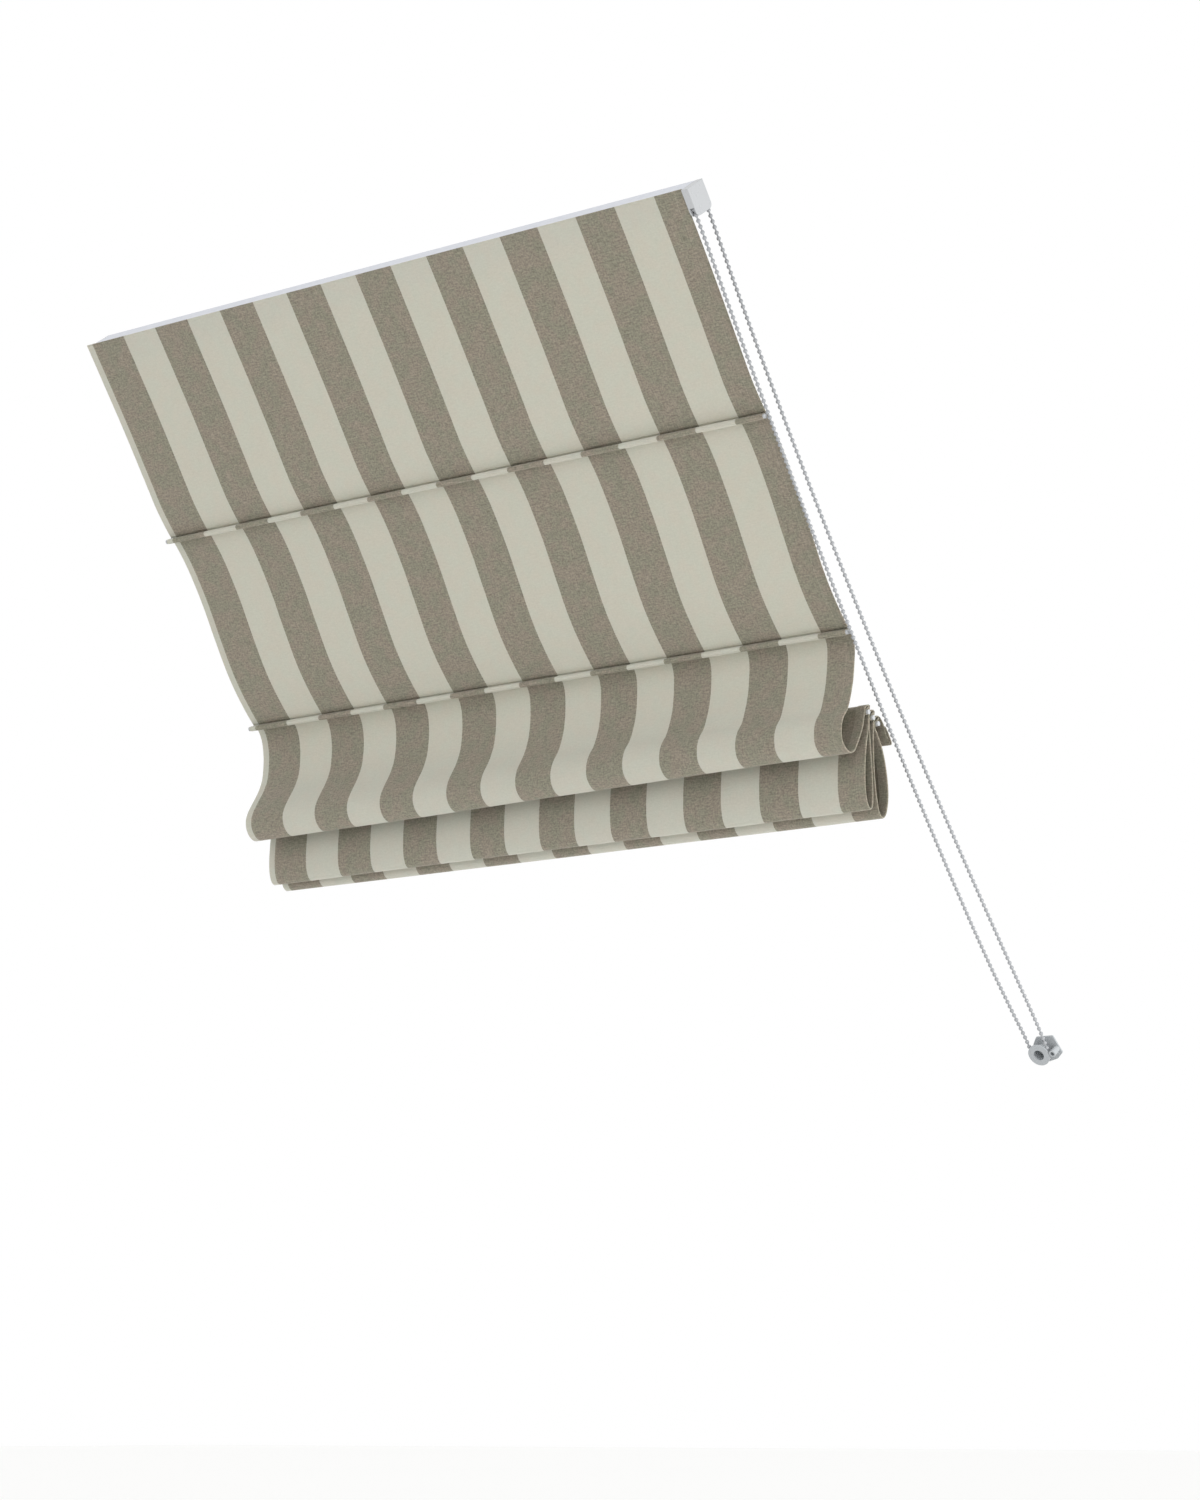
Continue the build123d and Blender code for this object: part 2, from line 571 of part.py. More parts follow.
write("headrail", hang(headrail()))
write("end_cap_left", hang(end_cap()))
write("drive_plate", hang(drive_plate()))
write("chain_cover", hang(chain_cover()))
write("drive_shaft", hang(drive_shaft()))
write("sprocket", hang(sprocket()))
write("bracket_left", hang(bracket(-BRACKET_X)))
write("bracket_right", hang(bracket(BRACKET_X)))
write("hook_tape", hang(tape(0)))
write("loop_tape", hang(tape(1)))

for side, cord_x in zip(CORD_SIDES, CORD_X):
    write(f"spool_{side}", hang(spool(cord_x)))
    write(f"cradle_{side}", hang(cradle(cord_x)))
    cord, cord_length = lift_cord(cord_x)
    write(f"lift_cord_{side}", hang(cord))
print("lift cord length", round(cord_length, 1))

for number, place in enumerate(RODS, start=1):
    write(f"rod_{number}", rod(place))
    write(f"rod_caps_{number}", rod_caps(place))
for number, place in enumerate(RINGS, start=1):
    write(f"cord_rings_{number}", hang(rings(place)))

write("cloth_panel_1", panel_1())
write("cloth_panel_2", panel_2())
for number, outline in enumerate((PANEL_3, PANEL_4, PANEL_5), start=3):
    write(f"cloth_panel_{number}", loop_panel(outline, number - 2))
write("cloth_hem", hem())
write("weight_bar", hang(weight_bar()))
write("cord_toggles", hang(toggles()))

chain, chain_length = bead_chain()
write("bead_chain", hang(chain))
write("chain_guide", hang(chain_guide()))
print("chain length", round(chain_length, 1))
print("chain volume share", round(chain.volume / (math.pi * CHAIN_R**2 * chain_length), 4))
print("rods", [(round(y, 2), round(z, 2)) for y, z in RODS])
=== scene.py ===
import json
import math

import bpy
import numpy as np
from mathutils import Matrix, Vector


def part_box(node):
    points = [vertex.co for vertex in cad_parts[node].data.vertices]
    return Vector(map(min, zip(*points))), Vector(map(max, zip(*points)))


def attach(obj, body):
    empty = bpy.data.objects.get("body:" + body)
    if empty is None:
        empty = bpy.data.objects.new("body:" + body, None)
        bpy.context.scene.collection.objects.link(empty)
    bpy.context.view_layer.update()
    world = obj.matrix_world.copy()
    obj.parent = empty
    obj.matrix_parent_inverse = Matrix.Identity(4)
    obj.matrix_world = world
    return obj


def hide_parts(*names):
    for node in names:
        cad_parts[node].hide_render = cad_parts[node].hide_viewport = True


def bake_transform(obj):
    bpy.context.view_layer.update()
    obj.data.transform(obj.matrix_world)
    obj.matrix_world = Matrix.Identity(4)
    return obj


# Striped roman blind on a slope. Lengths are millimetres until they become points in metres.
# Slope frame: x along the rail, y out through the window, z up the slope, y = 0 the cloth's plane.
# Row frame: the CAD's own, with z plumb. Outlines are (y, z) pairs.
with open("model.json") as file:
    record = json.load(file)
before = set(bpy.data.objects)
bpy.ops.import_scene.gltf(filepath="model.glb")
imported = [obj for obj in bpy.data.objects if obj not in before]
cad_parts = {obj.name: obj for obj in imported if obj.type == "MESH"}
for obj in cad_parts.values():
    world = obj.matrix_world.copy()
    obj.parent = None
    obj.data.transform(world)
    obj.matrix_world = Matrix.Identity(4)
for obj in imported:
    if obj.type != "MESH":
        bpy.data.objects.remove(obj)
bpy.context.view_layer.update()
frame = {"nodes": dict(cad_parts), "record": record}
nodes = frame["nodes"]

MM = 0.001
LEAN = math.radians(35.4)
ORIGIN_Y, ORIGIN_Z = 29.6, -14.0
SHAFT_Z = -15.0
HALF = 421.5                    # half the cloth's width
ROD_NUMBERS = range(1, 6)       # from the rail down; the last three are stacked
ROD_PITCH = 242.0
WEB = 1.0                       # from a hanging rod's place up to its seam
CLOTH = 0.8                     # the cloth's thickness
SEAM_STEP = (5.4, 8.0)          # from a stacked rod to its seam, in the row frame
CORD_X = (-330.0, 0.0, 330.0)
CORD_SIDES = ("left", "middle", "right")
CORD_Y = 6.0
CORD_R = 0.7
THREAD_R = 0.9
BEAD_R = 2.25
BEAD_PITCH = 6.0


# ---------------------------------------------------------------- places
def turn(y, z, angle):
    c, s = math.cos(angle), math.sin(angle)
    return y * c - z * s, y * s + z * c


def to_row(y, z):
    return turn(y - ORIGIN_Y, z - ORIGIN_Z, LEAN)


def point(x, y, z):
    """A place in the slope frame, in millimetres, as a point in the row frame, in metres."""
    return Vector((x, *to_row(y, z))) * MM


def row_point(x, yz):
    return Vector((x, *yz)) * MM


def middle(node):
    """The (y, z) of the middle of a CAD node, in millimetres."""
    low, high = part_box(node)
    centre = (low + high) / 2 / MM
    return centre.y, centre.z


def steps(start, offsets):
    """The places at the given offsets from one start."""
    return [(start[0] + dy, start[1] + dz) for dy, dz in offsets]


rods = {k: middle(f"rod_{k}") for k in ROD_NUMBERS}
rings = {k: middle(f"cord_rings_{k}") for k in ROD_NUMBERS}
seams = {k: to_row(0, WEB - k * ROD_PITCH) for k in (1, 2)}
seams.update({k: steps(rods[k], [SEAM_STEP])[0] for k in (3, 4, 5)})


# ---------------------------------------------------------------- materials
def linear(r, g, b):
    """A colour given in 0 to 255 as shown, as the shader's linear colour."""
    def channel(v):
        v /= 255
        return v / 12.92 if v <= 0.04045 else ((v + 0.055) / 1.055) ** 2.4
    return channel(r), channel(g), channel(b), 1.0


class Nodes:
    """Short ways to add nodes to one material."""

    def __init__(self, name, **surface):
        self.material = bpy.data.materials.new(name)
        self.material.use_nodes = True
        self.tree = self.material.node_tree
        self.shader = self.tree.nodes["Principled BSDF"]
        for socket, value in surface.items():
            self.shader.inputs[socket.replace("_", " ")].default_value = value

    def put(self, socket, value):
        if isinstance(value, bpy.types.NodeSocket):
            self.tree.links.new(value, socket)
        elif value is not None:
            socket.default_value = value

    def add(self, kind, *inputs, **settings):
        node = self.tree.nodes.new("ShaderNode" + kind)
        for key, value in settings.items():
            setattr(node, key, value)
        for socket, value in zip(node.inputs, inputs):
            self.put(socket, value)
        return node

    def math(self, operation, a, b=None, c=None):
        return self.add("Math", a, b, c, operation=operation).outputs[0]

    def scaled(self, vector, factors):
        """A vector or a colour times the factors, channel by channel."""
        return self.add("VectorMath", vector, factors, operation="MULTIPLY").outputs[0]

    def noise(self, vector, scale, detail=2.0, roughness=0.5):
        node = self.add("TexNoise")
        for name, value in (("Vector", vector), ("Scale", scale), ("Detail", detail),
                            ("Roughness", roughness)):
            self.put(node.inputs[name], value)
        return node.outputs["Fac"]

    def ramp(self, value, low, high, to_low=0.0, to_high=1.0):
        node = self.add("MapRange", value, low, high, to_low, to_high)
        node.interpolation_type = "SMOOTHSTEP"
        return node.outputs[0]

    def mix(self, factor, a, b):
        node = self.tree.nodes.new("ShaderNodeMix")
        node.data_type = "RGBA"
        self.put(node.inputs["Factor"], factor)
        self.put(node.inputs["A"], a)
        self.put(node.inputs["B"], b)
        return node.outputs["Result"]

    def bump(self, height, distance, strength=1.0):
        node = self.add("Bump")
        for name, value in (("Height", height), ("Distance", distance), ("Strength", strength)):
            self.put(node.inputs[name], value)
        self.put(self.shader.inputs["Normal"], node.outputs["Normal"])

    def object_place(self):
        return self.add("TexCoord").outputs["Object"]


TAUPE_GREEN = linear(131, 128, 113)
TAUPE_PINK = linear(136, 128, 115)
CREAM_COOL = linear(184, 184, 172)
CREAM_WARM = linear(186, 183, 171)
CREAM_FLECKS = 0.16             # how strong the cream's flecks are beside the taupe's
STRIPE = 50.0
STRIPE_START = -412.5
YARN = 0.9
STITCH_IN = 10.5                # from the cloth's side to its row of stitches
STITCH_HALF_WIDTH = 0.3
STITCH_PITCH = 3.2
STITCH = 2.3
STITCH_COLOUR = linear(176, 170, 154)


def fabric():
    # Light comes through the thin cloth, as it does on the real blind
    n = Nodes("striped_linen", Roughness=0.92, Sheen_Weight=0.1, Specular_IOR_Level=0.25,
              Subsurface_Weight=0.6, Subsurface_Radius=(1.0, 0.95, 0.85), Subsurface_Scale=0.0016)
    attribute = n.add("Attribute", attribute_name="flat")
    flat = n.scaled(attribute.outputs["Vector"], (1 / MM, 1 / MM, 1 / MM))
    split = n.add("SeparateXYZ", flat)
    x, v = split.outputs[0], split.outputs[1]
    wobble = n.ramp(n.noise(flat, 1.6, 1.0), 0.2, 0.8, -0.25, 0.25)
    shifted = n.math("ADD", n.math("ADD", x, -STRIPE_START), wobble)
    across = n.math("FLOORED_MODULO", shifted, 2 * STRIPE)
    dark = n.math("MULTIPLY", n.ramp(across, 0, 0.5), n.ramp(across, STRIPE, STRIPE + 0.5, 1, 0))

    # Slubs of the two yarns, flecks and a slow drift of hue
    weft = n.noise(n.scaled(flat, (0.12, 0.8, 1)), 1.0, 2.0, 0.55)
    warp = n.noise(n.scaled(flat, (0.8, 0.08, 1)), 1.0, 2.0, 0.55)
    fleck = n.noise(flat, 0.45, 2.0, 0.55)
    drift = n.noise(flat, 0.05, 2.0, 0.5)
    slub = n.math("ADD", n.math("ADD", n.ramp(weft, 0.3, 0.7, -0.13, 0.15),
                                n.ramp(warp, 0.3, 0.7, -0.07, 0.07)),
                  n.ramp(fleck, 0.3, 0.72, -0.15, 0.21))
    taupe = n.scaled(n.mix(n.ramp(drift, 0.38, 0.62), TAUPE_GREEN, TAUPE_PINK),
                     n.math("ADD", 1.0, slub))
    cream = n.scaled(n.mix(n.ramp(drift, 0.38, 0.62), CREAM_COOL, CREAM_WARM),
                     n.math("ADD", 1.0, n.math("MULTIPLY", slub, CREAM_FLECKS)))
    colour = n.mix(dark, cream, taupe)

    # Stitches of the side hems
    edge = n.math("SUBTRACT", HALF, n.math("ABSOLUTE", x))
    from_row = n.math("ABSOLUTE", n.math("SUBTRACT", edge, STITCH_IN))
    in_line = n.math("LESS_THAN", from_row, STITCH_HALF_WIDTH)
    in_stitch = n.math("LESS_THAN", n.math("FLOORED_MODULO", v, STITCH_PITCH), STITCH)
    stitch = n.math("MULTIPLY", in_line, in_stitch)
    colour = n.mix(n.math("MULTIPLY", stitch, 0.35), colour, STITCH_COLOUR)
    n.put(n.shader.inputs["Base Color"], colour)

    phase = math.tau / YARN
    weave = n.math("MULTIPLY", n.math("SINE", n.math("MULTIPLY", x, phase)),
                   n.math("SINE", n.math("MULTIPLY", v, phase)))
    height = n.math("ADD", n.math("MULTIPLY", weave, 0.35), n.math("MULTIPLY", slub, 2.5))
    n.bump(n.math("SUBTRACT", height, n.math("MULTIPLY", stitch, 0.8)), 0.00008, 0.7)
    return n.material


FINE_GRAIN = 0.02 * MM


def plastic(name, colour, roughness):
    """Moulded plastic or paint with a fine grain."""
    n = Nodes(name, Base_Color=colour, Specular_IOR_Level=0.5)
    place = n.object_place()
    n.put(n.shader.inputs["Roughness"],
          n.ramp(n.noise(place, 160, 3), 0.3, 0.7, roughness - 0.05, roughness + 0.06))
    n.bump(n.noise(place, 900, 2), FINE_GRAIN, 0.5)
    return n.material


def metal(name, colour, roughness):
    """Metal with its grain along x."""
    n = Nodes(name, Base_Color=colour, Metallic=1.0)
    grain = n.noise(n.scaled(n.object_place(), (6, 900, 900)), 1.0, 3)
    n.put(n.shader.inputs["Roughness"], n.ramp(grain, 0.3, 0.7, roughness - 0.08, roughness + 0.1))
    n.bump(grain, FINE_GRAIN, 0.4)
    return n.material


def clear(name, colour, roughness, through):
    """Clear or milky plastic: through is the share of light that passes."""
    n = Nodes(name, Base_Color=colour, Transmission_Weight=through, IOR=1.47)
    place = n.object_place()
    n.put(n.shader.inputs["Roughness"],
          n.ramp(n.noise(place, 240, 2), 0.3, 0.7, roughness - 0.03, roughness + 0.04))
    return n.material


def woven(name, colour, scale):
    """Braided cord or tape."""
    n = Nodes(name, Base_Color=colour, Roughness=0.9, Sheen_Weight=0.1)
    place = n.object_place()
    fuzz = n.noise(place, scale, 2)
    shade = n.ramp(fuzz, 0.3, 0.7, 0.86, 1.06)
    n.put(n.shader.inputs["Base Color"], n.scaled(tuple(colour[:3]), shade))
    n.bump(fuzz, 0.0001, 0.6)
    return n.material


FABRIC = fabric()
FINISH = {
    "rail_paint": plastic("rail_paint", linear(199, 202, 210), 0.38),
    "white_plastic": plastic("white_plastic", linear(178, 180, 182), 0.30),
    "drive_plastic": plastic("drive_plastic", linear(214, 216, 218), 0.45),
    "chain_plastic": clear("chain_plastic", linear(156, 158, 161), 0.16, 0.05),
    "rod_glassfibre": plastic("rod_glassfibre", linear(240, 238, 226), 0.35),
    "clear_plastic": clear("clear_plastic", linear(172, 176, 179), 0.2, 0.1),
    "clear_ring": clear("clear_ring", linear(236, 240, 240), 0.12, 0.85),
    "steel": metal("steel", linear(190, 192, 196), 0.35),
    "shaft_metal": metal("shaft_metal", linear(205, 207, 210), 0.3),
    "bar_metal": metal("bar_metal", linear(205, 207, 210), 0.4),
    "tape": woven("tape", linear(228, 228, 224), 1400),
    "cord": woven("cord", linear(232, 232, 226), 1800),
    "cloth": FABRIC,
}
for part in frame["record"]["subparts"]:
    data = nodes[part["node"]].data
    data.materials.clear()
    data.materials.append(FINISH[part["material_slot"]])


# ---------------------------------------------------------------- meshes
FINE_STEPS = 20


def smooth(points, count):
    """Count points evenly spaced along a smooth line through the given points."""
    p = np.array(points, float)
    p = np.vstack([2 * p[0] - p[1], p, 2 * p[-1] - p[-2]])
    line = []
    for a, b, c, d in zip(p, p[1:], p[2:], p[3:]):
        t = np.cumsum([0] + [math.sqrt(np.linalg.norm(q - r)) for q, r in ((a, b), (b, c), (c, d))])
        s = np.linspace(t[1], t[2], FINE_STEPS, endpoint=False)[:, None]

        def between(q, r, i, j):
            return ((t[j] - s) * q + (s - t[i]) * r) / (t[j] - t[i])
        ab, bc, cd = between(a, b, 0, 1), between(b, c, 1, 2), between(c, d, 2, 3)
        line.append(between(between(ab, bc, 0, 2), between(bc, cd, 1, 3), 1, 2))
    line = np.vstack([*line, p[-2:-1]])
    along = np.concatenate([[0], np.cumsum(np.linalg.norm(np.diff(line, axis=0), axis=1))])
    at = np.linspace(0, along[-1], count)
    return np.stack([np.interp(at, along, line[:, k]) for k in range(2)], axis=1), along[-1]


EDGE_COLUMNS = (0, 0.25, 0.8, 2, 5, 8, 9.8, 10.5, 11.2, 12, 12.8, 15)
EDGE_ZONE = 20.0
COLUMN_STEP = 6.0
HEM_WIDTH = 12.0
SHARPEST_EDGE = 0.03            # what is left of the thickness, squared, at the very edge
HELD_ENDS = 0.7
RIPPLES = 7
RIPPLE_LONG = 260.0
RIPPLE_SHORT = 110.0


def columns():
    """Places across the cloth, close together at its two hems."""
    inside = HALF - EDGE_ZONE
    inner = np.linspace(-inside, inside, int(2 * inside / COLUMN_STEP) + 1)
    left = np.array([-HALF + e for e in EDGE_COLUMNS])
    return np.concatenate([left, inner, -left[::-1]])


def ripple(x, v, seed):
    """Gentle waves of cloth, from about -1 to 1."""
    r = np.random.RandomState(seed)
    total = np.zeros(np.broadcast(x, v).shape)
    for _ in range(RIPPLES):
        a, b = r.uniform(-1, 1) / RIPPLE_LONG, r.uniform(-1, 1) / RIPPLE_SHORT
        total += r.uniform(0.4, 1) * np.sin(math.tau * (a * x + b * v) + r.uniform(0, math.tau))
    return total / 4


class Cloth:
    """A sheet of cloth with two faces and turned hems at its sides. Rows run down the cloth."""

    def __init__(self, left, right, count, start=0.0, thick=CLOTH, waves=0.0, seed=1):
        self.x = columns()
        side_a, length_a = smooth(left, count)
        side_b, length_b = smooth(right, count)
        self.length = (length_a + length_b) / 2
        share = (self.x + HALF) / (2 * HALF)
        share = (share * share * (3 - 2 * share))[None, :, None]
        yz = side_a[:, None, :] * (1 - share) + side_b[:, None, :] * share
        self.v = start + np.linspace(0, self.length, count)
        along = np.gradient(yz, axis=0)
        along /= np.linalg.norm(along, axis=2, keepdims=True)
        self.normal = np.stack([along[..., 1], -along[..., 0]], axis=2)
        free = np.sin(np.linspace(0, math.pi, count)) ** HELD_ENDS
        push = waves * free[:, None] * ripple(self.x[None, :], self.v[:, None], seed)
        self.yz = yz + self.normal * push[..., None]
        edge = HALF - np.abs(self.x)
        turned = np.clip(HEM_WIDTH + 0.5 - edge, 0, 1)
        front = np.full(len(self.x), thick / 2)
        back = thick / 2 + turned * thick
        inward = 1 - np.clip(edge / thick, 0, 1)
        fold = np.sqrt(np.clip(1 - inward ** 2, SHARPEST_EDGE, 1))
        centre = (front - back) / 2
        self.front = centre + (front - centre) * fold
        self.back = centre - (back + centre) * fold

    def piece(self, name, first=0, last=None):
        """A mesh of the rows from first to last, with a rim all round."""
        rows = slice(first, None if last is None else last + 1)
        yz, normal, v = self.yz[rows], self.normal[rows], self.v[rows]
        count, wide = yz.shape[:2]
        x = np.broadcast_to(self.x[None, :], (count, wide))
        layers = []
        for offset in (self.front, self.back):
            moved = yz + normal * offset[None, :, None]
            layers.append(np.dstack([x, moved]).reshape(-1, 3))
        flat = np.dstack([x, np.broadcast_to(v[:, None], (count, wide)), np.zeros((count, wide))])
        index = np.arange(count * wide).reshape(count, wide)
        quads = np.stack([index[:-1, :-1], index[1:, :-1], index[1:, 1:], index[:-1, 1:]], -1)
        quads = quads.reshape(-1, 4)
        ring = np.concatenate([index[0, :-1], index[:-1, -1], index[-1, :0:-1], index[:0:-1, 0]])
        after = np.roll(ring, -1)
        under = count * wide
        rim = np.stack([ring, after, after + under, ring + under], -1)
        faces = np.vstack([quads, quads[:, ::-1] + under, rim])
        mesh = bpy.data.meshes.new(name)
        mesh.from_pydata((np.vstack(layers) * MM).tolist(), [], faces.tolist())
        mesh.attributes.new("flat", "FLOAT_VECTOR", "POINT").data.foreach_set(
            "vector", (np.tile(flat.reshape(-1, 3), (2, 1)) * MM).astype(np.float32).ravel())
        smooth_face = np.ones(len(faces), bool)
        smooth_face[2 * len(quads):] = False
        mesh.polygons.foreach_set("use_smooth", smooth_face)
        mesh.materials.append(FABRIC)
        return link(name, mesh)


def link(name, data):
    """A new object in the scene."""
    made = bpy.data.objects.new(name, data)
    bpy.context.scene.collection.objects.link(made)
    return made


def declare(piece, length, held, rests_on, *replaced):
    """Hide the CAD parts that a sheet of the cloth's full width replaces; the given length in
    millimetres is not used.
    """
    if replaced:
        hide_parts(*replaced)


def span(cloth, first, last):
    """The cloth's length from one row to another."""
    return cloth.v[last] - cloth.v[first]


# ---------------------------------------------------------------- camera and stage
EYE = point(2486.6, -2893.4, 596.5)
AHEAD = Vector((-0.6150, 0.7673, 0.1819))

camera_data = bpy.data.cameras.new("camera")
camera_data.sensor_width = 36
camera_data.lens = 86.93
camera = bpy.data.objects.new("camera", camera_data)
camera.location = EYE
camera.rotation_mode = "QUATERNION"
camera.rotation_quaternion = AHEAD.to_track_quat("-Z", "Y")
bpy.context.scene.collection.objects.link(camera)
bpy.context.scene.camera = camera

FLOOR_Z = -1.5
HALF_FLOOR = 30.0


def pale(name, value):
    n = Nodes(name, Base_Color=(value, value, value * 0.99, 1))
    n.put(n.shader.inputs["Roughness"], n.ramp(n.noise(n.object_place(), 3, 2), 0.3, 0.7, 0.85, 0.95))
    return n.material


floor_mesh = bpy.data.meshes.new("floor")
floor_corners = [(-HALF_FLOOR, -HALF_FLOOR, FLOOR_Z), (HALF_FLOOR, -HALF_FLOOR, FLOOR_Z),
                 (HALF_FLOOR, HALF_FLOOR, FLOOR_Z), (-HALF_FLOOR, HALF_FLOOR, FLOOR_Z)]
floor_mesh.from_pydata(floor_corners, [], [(0, 1, 2, 3)])
floor_mesh.materials.append(pale("floor_paint", 0.97))
link("floor", floor_mesh)

scene = bpy.context.scene
scene.view_settings.view_transform = "Standard"
world = bpy.data.worlds.new("studio")
world.use_nodes = True
background = world.node_tree.nodes["Background"]
background.inputs["Color"].default_value = (1.0, 1.0, 1.0, 1)
background.inputs["Strength"].default_value = 1.0
scene.world = world


def light(name, place, target, size, power):
    """A soft square lamp, in metres and watts, that points at its target."""
    data = bpy.data.lights.new(name, "AREA")
    data.size, data.energy = size, power
    lamp = bpy.data.objects.new(name, data)
    lamp.location = place
    lamp.rotation_mode = "QUATERNION"
    lamp.rotation_quaternion = (Vector(target) - Vector(place)).to_track_quat("-Z", "Y")
    scene.collection.objects.link(lamp)


MIDDLE = (0, 0.2, -0.35)
STACK_END = (0.42, 0.3, -0.5)
light("key", (2.2, -2.3, 0.2), MIDDLE, size=1.8, power=14)
light("fill", (1.4, 0.38, -0.62), STACK_END, size=0.5, power=7)

# ---------------------------------------------------------------- bead chain
# The CAD route's corners in the slope frame, with one more point beside each corner at the sprocket.
CHAIN_ROUTE = [
    (426.45, 12.5, -4.0), (426.45, 1.9, -4.0), (426.47, 1.65, -14.6),
    (426.6, 0.4, -58), (427.0, -3.6, -150), (427.3, -6.7, -270), (427.4, -8.0, -400),
    (427.7, -7.2, -530), (428.4, -4.2, -660), (429.3, 0.5, -780), (430.2, 7.0, -880),
    (430.9, 15.0, -950), (431.3, 20.5, -985), (431.3, 20.5, -1013.5), (452.3, 20.5, -1013.5),
    (452.3, 20.2, -980), (451.2, 16.8, -925), (448.6, 11.8, -835), (445.4, 7.0, -720),
    (441.8, 4.2, -600), (438.0, 4.0, -470), (434.2, 6.6, -340), (430.9, 11.6, -220),
    (428.1, 18.0, -120), (426.5, 23.4, -50), (426.46, 24.15, -14.6), (426.45, 24.3, -4.0),
    (426.45, 13.7, -4.0),
]


def route(name, points, radius):
    """A smooth cord through the given control points, in metres."""
    data = bpy.data.curves.new(name, "CURVE")
    data.dimensions = "3D"
    spline = data.splines.new("NURBS")
    spline.points.add(len(points) - 1)
    for held, place in zip(spline.points, points):
        held.co = (*place, 1)
    spline.order_u = 3
    spline.use_endpoint_u = True
    spline.resolution_u = 16
    data.bevel_depth = radius
    data.bevel_resolution = 3
    data.use_fill_caps = True
    return data


def line_of(data):
    """Points along a curve's own line."""
    depth, data.bevel_depth = data.bevel_depth, 0
    bare = bpy.data.objects.new("bare", data)
    mesh = bpy.data.meshes.new_from_object(bare)
    points = np.array([v.co for v in mesh.vertices])
    bpy.data.objects.remove(bare)
    bpy.data.meshes.remove(mesh)
    data.bevel_depth = depth
    return points


def spaced(points, pitch):
    """Places and directions at an even pitch along a line."""
    along = np.concatenate([[0], np.cumsum(np.linalg.norm(np.diff(points, axis=0), axis=1))])
    at = np.arange(pitch / 2, along[-1], pitch)
    places = np.stack([np.interp(at, along, points[:, k]) for k in range(3)], axis=1)
    ahead = np.stack([np.interp(at + 0.0005, along, points[:, k]) for k in range(3)], axis=1)
    return [(Vector(p), Vector(q - p)) for p, q in zip(places, ahead)]


def bead(radius, around=14, rings=9):
    """A ball with its poles on z, as points and faces."""
    points = [(0, 0, radius)]
    for i in range(1, rings):
        a = math.pi * i / rings
        points += [(radius * math.sin(a) * math.cos(math.tau * j / around),
                    radius * math.sin(a) * math.sin(math.tau * j / around), radius * math.cos(a))
                   for j in range(around)]
    points.append((0, 0, -radius))
    faces = [(0, 1 + j, 1 + (j + 1) % around) for j in range(around)]
    for i in range(rings - 2):
        a = 1 + i * around
        faces += [(a + j, a + around + j, a + around + (j + 1) % around, a + (j + 1) % around)
                  for j in range(around)]
    last, a = len(points) - 1, 1 + (rings - 2) * around
    faces += [(a + j, last, a + (j + 1) % around) for j in range(around)]
    return points, faces


chain_data = route("chain_thread", [point(*p) for p in CHAIN_ROUTE], THREAD_R * MM)
chain_data.materials.append(FINISH["chain_plastic"])
chain = link("chain_thread", chain_data)
ball, ball_faces = bead(BEAD_R * MM)
points, faces = [], []
for place, ahead in spaced(line_of(chain_data), BEAD_PITCH * MM):
    way = ahead.to_track_quat("Z", "X")
    faces += [tuple(len(points) + i for i in face) for face in ball_faces]
    points += [place + way @ Vector(p) for p in ball]
bead_mesh = bpy.data.meshes.new("chain_beads")
bead_mesh.from_pydata(points, [], faces)
bead_mesh.polygons.foreach_set("use_smooth", [True] * len(bead_mesh.polygons))
bead_mesh.materials.append(FINISH["chain_plastic"])
beads = link("chain_beads", bead_mesh)
for piece in (chain, beads):
    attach(piece, "headrail")
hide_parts("bead_chain")


def cord_piece(name, ends):
    """A straight stretch of lift cord between two places."""
    middle_point = (ends[0] + ends[1]) / 2
    data = route(name, [ends[0], middle_point, ends[1]], CORD_R * MM)
    line = line_of(data)
    source = bpy.data.objects.new("source", data)
    mesh = bpy.data.meshes.new_from_object(source)
    bpy.data.objects.remove(source)
    mesh.name = name
    mesh.materials.clear()
    mesh.materials.append(FINISH["cord"])
    piece = link(name, mesh)
    return piece


toggle = middle("cord_toggles")
stops = [to_row(CORD_Y, SHAFT_Z)] + [rings[k] for k in ROD_NUMBERS]
for side, x in zip(CORD_SIDES, CORD_X):
    for k, (a, b) in enumerate(zip(stops, stops[1:])):
        ends = [row_point(x, a), row_point(x, b)]
        piece = cord_piece(f"cord_{side}_{k + 1}", ends)
        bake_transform(piece)
        if k == 0:
            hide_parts(f"lift_cord_{side}")
    last_stretch = cord_piece(f"cord_{side}_end", [row_point(x, rings[5]), row_point(x, toggle)])
    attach(last_stretch, "rod_5")

# ---------------------------------------------------------------- cloth
PANEL_1 = [(0, 0), (0, -24), (-0.3, -60), (-1.0, -110), (-2.7, -170), (-3.6, -205), (-1.4, -236),
           (-0.6, -240.3)]
PANEL_2 = [(0, -0.4), (1.2, -8), (3.1, -28), (3.5, -48), (2.0, -88), (-2.1, -128), (-5.9, -168),
           (-6.3, -188), (-5.4, -206), (-2.9, -229), (-0.9, -240.6)]
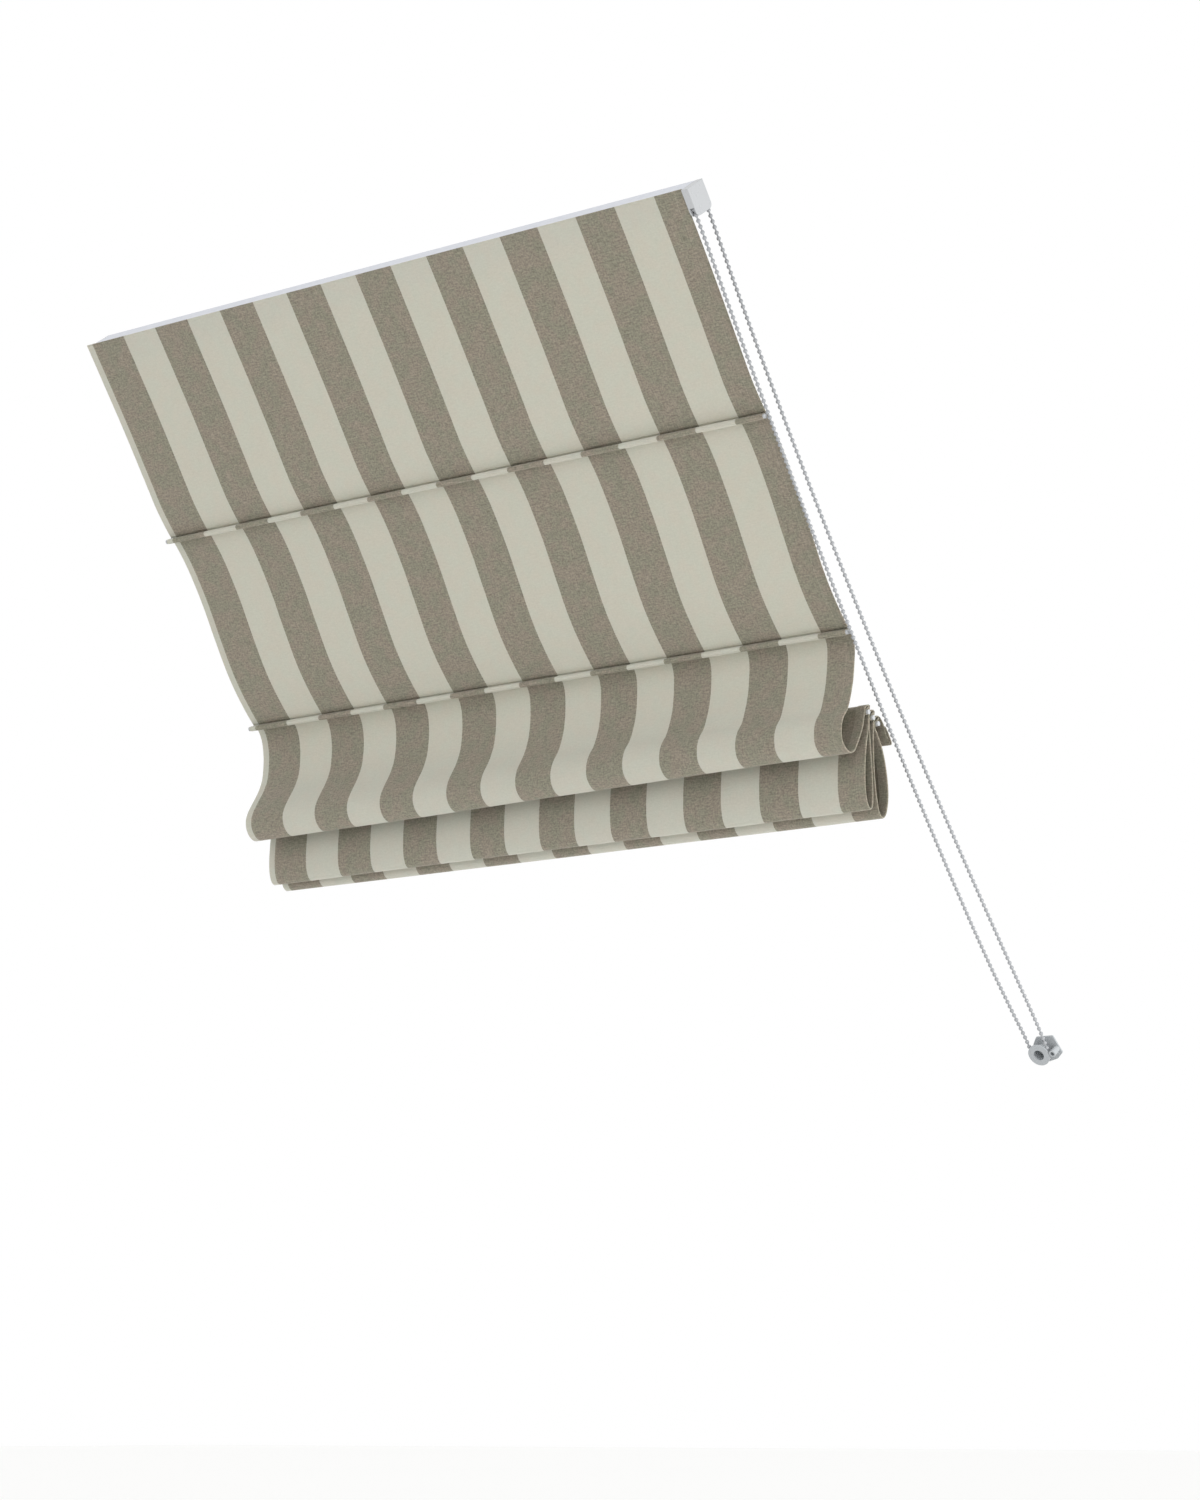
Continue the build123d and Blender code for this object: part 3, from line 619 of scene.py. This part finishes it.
# Loops: outlines at the cloth's left and right edge, in the row frame, from the rod above
OVER_ROD = [(31.9, -78), (33.0, -74), (36, -71.2), (39.6, -70.3)]
LOOP_3_LEFT = [(5.1, 4.6), (10, 1.6), (14.5, -4), (18.8, -14), (21.3, -30), (21.0, -45),
               (18.6, -60), (12.5, -74), (4.5, -87), (-2.7, -99.4), (-5.8, -109), (-4.7, -118.4),
               (0.5, -126.5), (8, -130.6), (15, -129), (20.5, -119), (25.5, -103), (30, -90),
               *OVER_ROD]
LOOP_3_RIGHT = [(5.1, 4.6), (9.5, 1.5), (12.8, -4), (14.6, -12), (14.0, -28), (11.3, -47.4),
                (6.6, -64), (0.3, -79.4), (-6.5, -88), (-9.9, -95), (-11.2, -104), (-9.7, -113.4),
                (-4, -120.5), (4, -124.4), (12, -122), (18, -113.5), (23.3, -104.4),
                (28.5, -93), *OVER_ROD]
FROM_SEAM = [(5.3, 7.8), (5.1, 5.5), (4.4, 2.5), (3.9, -1)]
OVER_NEXT = [(4.9, -6), (6.0, -0.2), (8.9, 2.7), (12.4, 3.4)]
LOOP_4_LEFT = [*FROM_SEAM, (3.5, -12), (2.3, -28), (1.0, -42.5), (-0.6, -60), (-1.2, -76),
               (0.2, -90), (4.0, -98.5), (8.0, -100.5), (10.8, -96), (11.2, -84), (9.8, -64),
               (7.6, -40), (5.6, -20), *OVER_NEXT]
LOOP_4_RIGHT = [*FROM_SEAM, (3.2, -10), (0.8, -22), (-1.8, -33.5), (-4.0, -50), (-4.9, -66.5),
                (-4.2, -82), (-0.8, -95), (4.2, -100.6), (8.0, -98), (9.6, -90), (9.6, -72),
                (7.6, -45), (5.6, -22), *OVER_NEXT]
OVER_LAST = [(6.2, -8.5), (5.4, -4), (6.6, -0.3), (9.4, 2.4), (12.9, 3.0)]
LOOP_5_LEFT = [*FROM_SEAM, (3.4, -12), (3.4, -38), (5.6, -62), (9.6, -84), (15.0, -98),
               (20.8, -101), (25.5, -95), (28.0, -79), (25.5, -56), (18.6, -31), (10.2, -15),
               *OVER_LAST]
LOOP_5_RIGHT = [*FROM_SEAM, (3.3, -12), (3.0, -38), (4.3, -62), (7.8, -84), (12.5, -98),
                (18.8, -101.9), (24.5, -97), (28.8, -79), (27, -56), (19.8, -31), (10.5, -15),
                *OVER_LAST]
PANEL_ROWS = 82
LOOP_ROWS = 104
TUCK_ROWS = 30
TAIL_ROWS = 60
PANEL_WAVES = 0.5
BELOW_LOWEST = 2                # rows from a loop's lowest one to where its front ends
TUCK_R = 2.6
TUCK_THICK = 0.7
SEAM_HALF = 0.45                # half the fold's width at its seam
NECK_HALF = 0.75                # and where it opens round the rod
TAIL = [(0.2, -0.6), (1.4, -6), (1.6, -11), (0.6, -15.5), (0.35, -20), (0.4, -28), (0.8, -32),
        (2.6, -33.6), (4.5, -32), (4.9, -28), (4.9, -20), (4.7, -16.5), (3.9, -13)]

outline = [to_row(y, z) for y, z in PANEL_1]
top = Cloth(outline, outline, PANEL_ROWS, waves=PANEL_WAVES, seed=3)
panel = top.piece("fabric_panel_1")
declare(panel, top.length, "hung", ["loop_tape", "rod_1"], "cloth_panel_1")
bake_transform(panel)

outline = [to_row(y, z - ROD_PITCH) for y, z in PANEL_2]
second = Cloth(outline, outline, PANEL_ROWS, start=ROD_PITCH, waves=PANEL_WAVES, seed=5)
panel = second.piece("fabric_panel_2")
declare(panel, second.length, "hung", ["rod_1", "rod_2"], "cloth_panel_2")
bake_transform(panel)

# Each loop's rod, its two outlines, its seed and how high its waves are
LOOPS = [(3, LOOP_3_LEFT, LOOP_3_RIGHT, 11, 1.2), (4, LOOP_4_LEFT, LOOP_4_RIGHT, 17, 0.5),
         (5, LOOP_5_LEFT, LOOP_5_RIGHT, 23, 0.5)]
for number, left, right, seed, waves in LOOPS:
    upper = number - 1
    loop = Cloth(steps(rods[upper], left), steps(rods[upper], right), LOOP_ROWS,
                 start=upper * ROD_PITCH, waves=waves, seed=seed)
    centre = len(loop.x) // 2
    split = int(loop.yz[:, centre, 1].argmin()) + BELOW_LOWEST
    last = len(loop.v) - 1
    front = loop.piece(f"fabric_loop_{number}_front", 0, split)
    back = loop.piece(f"fabric_loop_{number}_back", split, last)
    held_by = [f"rod_{upper}", f"rod_{number}"]
    declare(front, span(loop, 0, split), "gathered", held_by, f"cloth_panel_{number}")
    declare(back, span(loop, split, last), "gathered", held_by)
    # The stack below carries loop 3's front up with it; the stacked loops hang from their upper rod
    crossing, still, still_rod = (front, back, number) if number == 3 else (back, front, upper)
    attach(still, f"rod_{still_rod}")
    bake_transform(crossing)


def tuck_outline(rod, seam):
    """A fold of cloth from the seam round the rod and back."""
    out = Vector((seam[0] - rod[0], seam[1] - rod[1]))
    reach = out.length
    out.normalize()
    side = Vector((-out.y, out.x))
    half = [(reach, SEAM_HALF), (0.62 * reach + 0.3, NECK_HALF)]
    half += [(TUCK_R * math.cos(a), TUCK_R * math.sin(a)) for a in np.radians((42, 75, 110, 145))]
    pairs = half + [(-TUCK_R, 0)] + [(a, -b) for a, b in reversed(half)]
    return [(rod[0] + out.x * a + side.x * b, rod[1] + out.y * a + side.y * b) for a, b in pairs]


for number in rods:
    outline = tuck_outline(rods[number], seams[number])
    tuck = Cloth(outline, outline, TUCK_ROWS, start=number * ROD_PITCH, thick=TUCK_THICK)
    piece = tuck.piece(f"fabric_tuck_{number}")
    declare(piece, tuck.length, "stretched", [f"rod_{number}"])
    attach(piece, f"rod_{number}")

outline = steps(seams[5], [turn(y, z, LEAN) for y, z in TAIL])
tail = Cloth(outline, outline, TAIL_ROWS, start=5 * ROD_PITCH)
hem = tail.piece("fabric_hem")
declare(hem, tail.length, "hung", ["weight_bar"], "cloth_hem")
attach(hem, "rod_5")
